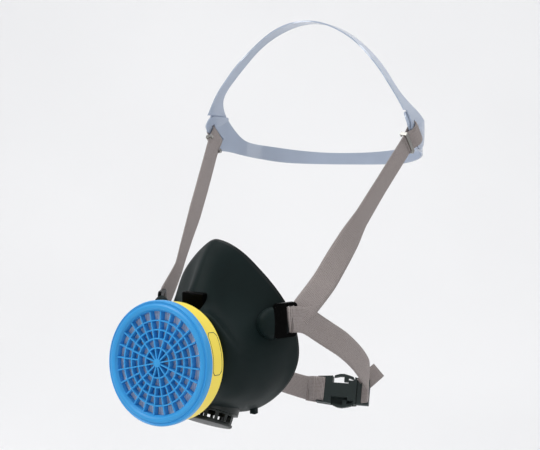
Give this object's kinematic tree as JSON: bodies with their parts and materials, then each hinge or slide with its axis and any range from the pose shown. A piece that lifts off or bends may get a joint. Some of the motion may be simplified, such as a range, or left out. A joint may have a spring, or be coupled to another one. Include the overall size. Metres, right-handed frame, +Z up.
{
  "type": "half-mask respirator",
  "caption": "Half-mask respirator with a screw-on front filter cartridge, chin exhalation valve, strap loops, plastic head cradle and buckled neck strap, shown as worn.",
  "frame": {"origin": "on the symmetry plane in the middle of the face opening, 65 mm above the chin edge of the seal and 69 mm below its nose edge", "axes": "+Z up towards the crown of the head, -Y the front of the mask where the cartridge points, +X the wearer's left, where the neck buckle is"},
  "size_m": [0.1974, 0.2767, 0.3086],
  "materials": {
    "mask_rubber": "matt moulded rubber",
    "seal_rubber": "soft satin rubber",
    "black_plastic": "glossy moulded",
    "cover_plastic": "fine matt",
    "valve_rubber": "thin natural rubber",
    "gasket_rubber": "smooth",
    "blue_plastic": "satin moulded",
    "yellow_plastic": "satin moulded",
    "filter_felt": "needled felt",
    "mesh_plastic": "moulded mesh",
    "carbon": "packed granules",
    "cradle_plastic": "clear tinted sheet",
    "webbing": "ribbed elastic webbing",
    "nickel": "bright nickel plate",
    "buckle_plastic": "fine matt moulded"
  },
  "bodies": {
    "facepiece": {"facepiece_shell": "mask_rubber", "face_seal": "seal_rubber", "connector_frame": "black_plastic", "strap_loop_left": "black_plastic", "strap_loop_right": "black_plastic", "loop_wrap_left": "webbing", "loop_wrap_right": "webbing", "chin_nub_left": "mask_rubber", "chin_nub_right": "mask_rubber", "inhalation_seat": "black_plastic", "exhalation_seat": "cover_plastic"},
    "inhalation_flap": {"inhalation_valve": "valve_rubber"},
    "exhalation_flap": {"exhalation_valve": "valve_rubber"},
    "chin_cover": {"valve_cover": "cover_plastic"},
    "gasket": {"cartridge_gasket": "gasket_rubber"},
    "cartridge": {"filter_cap": "blue_plastic", "cap_grille": "blue_plastic", "canister": "yellow_plastic", "dust_prefilter": "filter_felt", "front_mesh": "mesh_plastic", "carbon_bed": "carbon", "rear_mesh": "mesh_plastic", "cartridge_neck": "yellow_plastic"},
    "head_harness": {"back_band": "cradle_plastic", "crown_band": "cradle_plastic", "upper_strap_left": "webbing", "upper_strap_right": "webbing"},
    "left_slider": {"slider_left": "nickel"},
    "right_slider": {"slider_right": "nickel"},
    "neck_harness": {"neck_strap_left": "webbing", "neck_strap_right": "webbing", "neck_strap_tail": "webbing", "buckle_female": "buckle_plastic", "buckle_male": "buckle_plastic"},
    "upper_prong": {"buckle_prong_upper": "buckle_plastic"},
    "lower_prong": {"buckle_prong_lower": "buckle_plastic"}
  },
  "joints": [
    {"name": "inhalation_lift", "type": "slide", "parent": "facepiece", "child": "inhalation_flap", "axis": [0, 0.9923, -0.1236], "range_m": [0, 0.0025], "stiffness_N_per_m": 20, "springref_m": -0.0005},
    {"name": "exhalation_lift", "type": "slide", "parent": "facepiece", "child": "exhalation_flap", "axis": [0, -0.454, -0.891], "range_m": [0, 0.002], "stiffness_N_per_m": 20, "springref_m": -0.001},
    {"name": "cover_pull_off", "type": "slide", "parent": "facepiece", "child": "chin_cover", "axis": [0, -0.454, -0.891], "range_m": [0, 0.014]},
    {"name": "thread_travel", "type": "slide", "parent": "facepiece", "child": "gasket", "axis": [0, -0.9923, 0.1236], "range_m": [0, 0.0061]},
    {"name": "cartridge_unscrew", "type": "hinge", "parent": "gasket", "child": "cartridge", "pos_m": [0, -0.0899, -0.00665], "axis": [0, -0.9923, 0.1236], "range_deg": [0, 720]},
    {"name": "harness_swing", "type": "hinge", "parent": "facepiece", "child": "head_harness", "pos_m": [0, 0.0035, 0.022], "axis": [1, 0, 0], "range_deg": [-30, 40]},
    {"name": "slider_left_run", "type": "slide", "parent": "head_harness", "child": "left_slider", "axis": [-0.2078, -0.6517, -0.7294], "range_m": [0, 0.06]},
    {"name": "slider_right_run", "type": "slide", "parent": "head_harness", "child": "right_slider", "axis": [0.2078, -0.6517, -0.7294], "range_m": [0, 0.06]},
    {"name": "neck_strap_swing", "type": "hinge", "parent": "facepiece", "child": "neck_harness", "pos_m": [0, 0.0035, 0.0146], "axis": [1, 0, 0], "range_deg": [-20, 25]},
    {"name": "upper_prong_squeeze", "type": "hinge", "parent": "neck_harness", "child": "upper_prong", "pos_m": [0.06807, 0.07883, -0.04942], "axis": [0.2379, -0.8327, 0.5], "range_deg": [0, 5], "stiffness_Nm_per_rad": 0.3},
    {"name": "lower_prong_squeeze", "type": "hinge", "parent": "neck_harness", "child": "lower_prong", "pos_m": [0.07016, 0.07152, -0.06258], "axis": [-0.2379, 0.8327, -0.5], "range_deg": [0, 5], "stiffness_Nm_per_rad": 0.3}
  ],
  "couplings": [
    {"joint": "thread_travel", "follows": "cartridge_unscrew", "m_per_rad": 0.00047746}
  ]
}
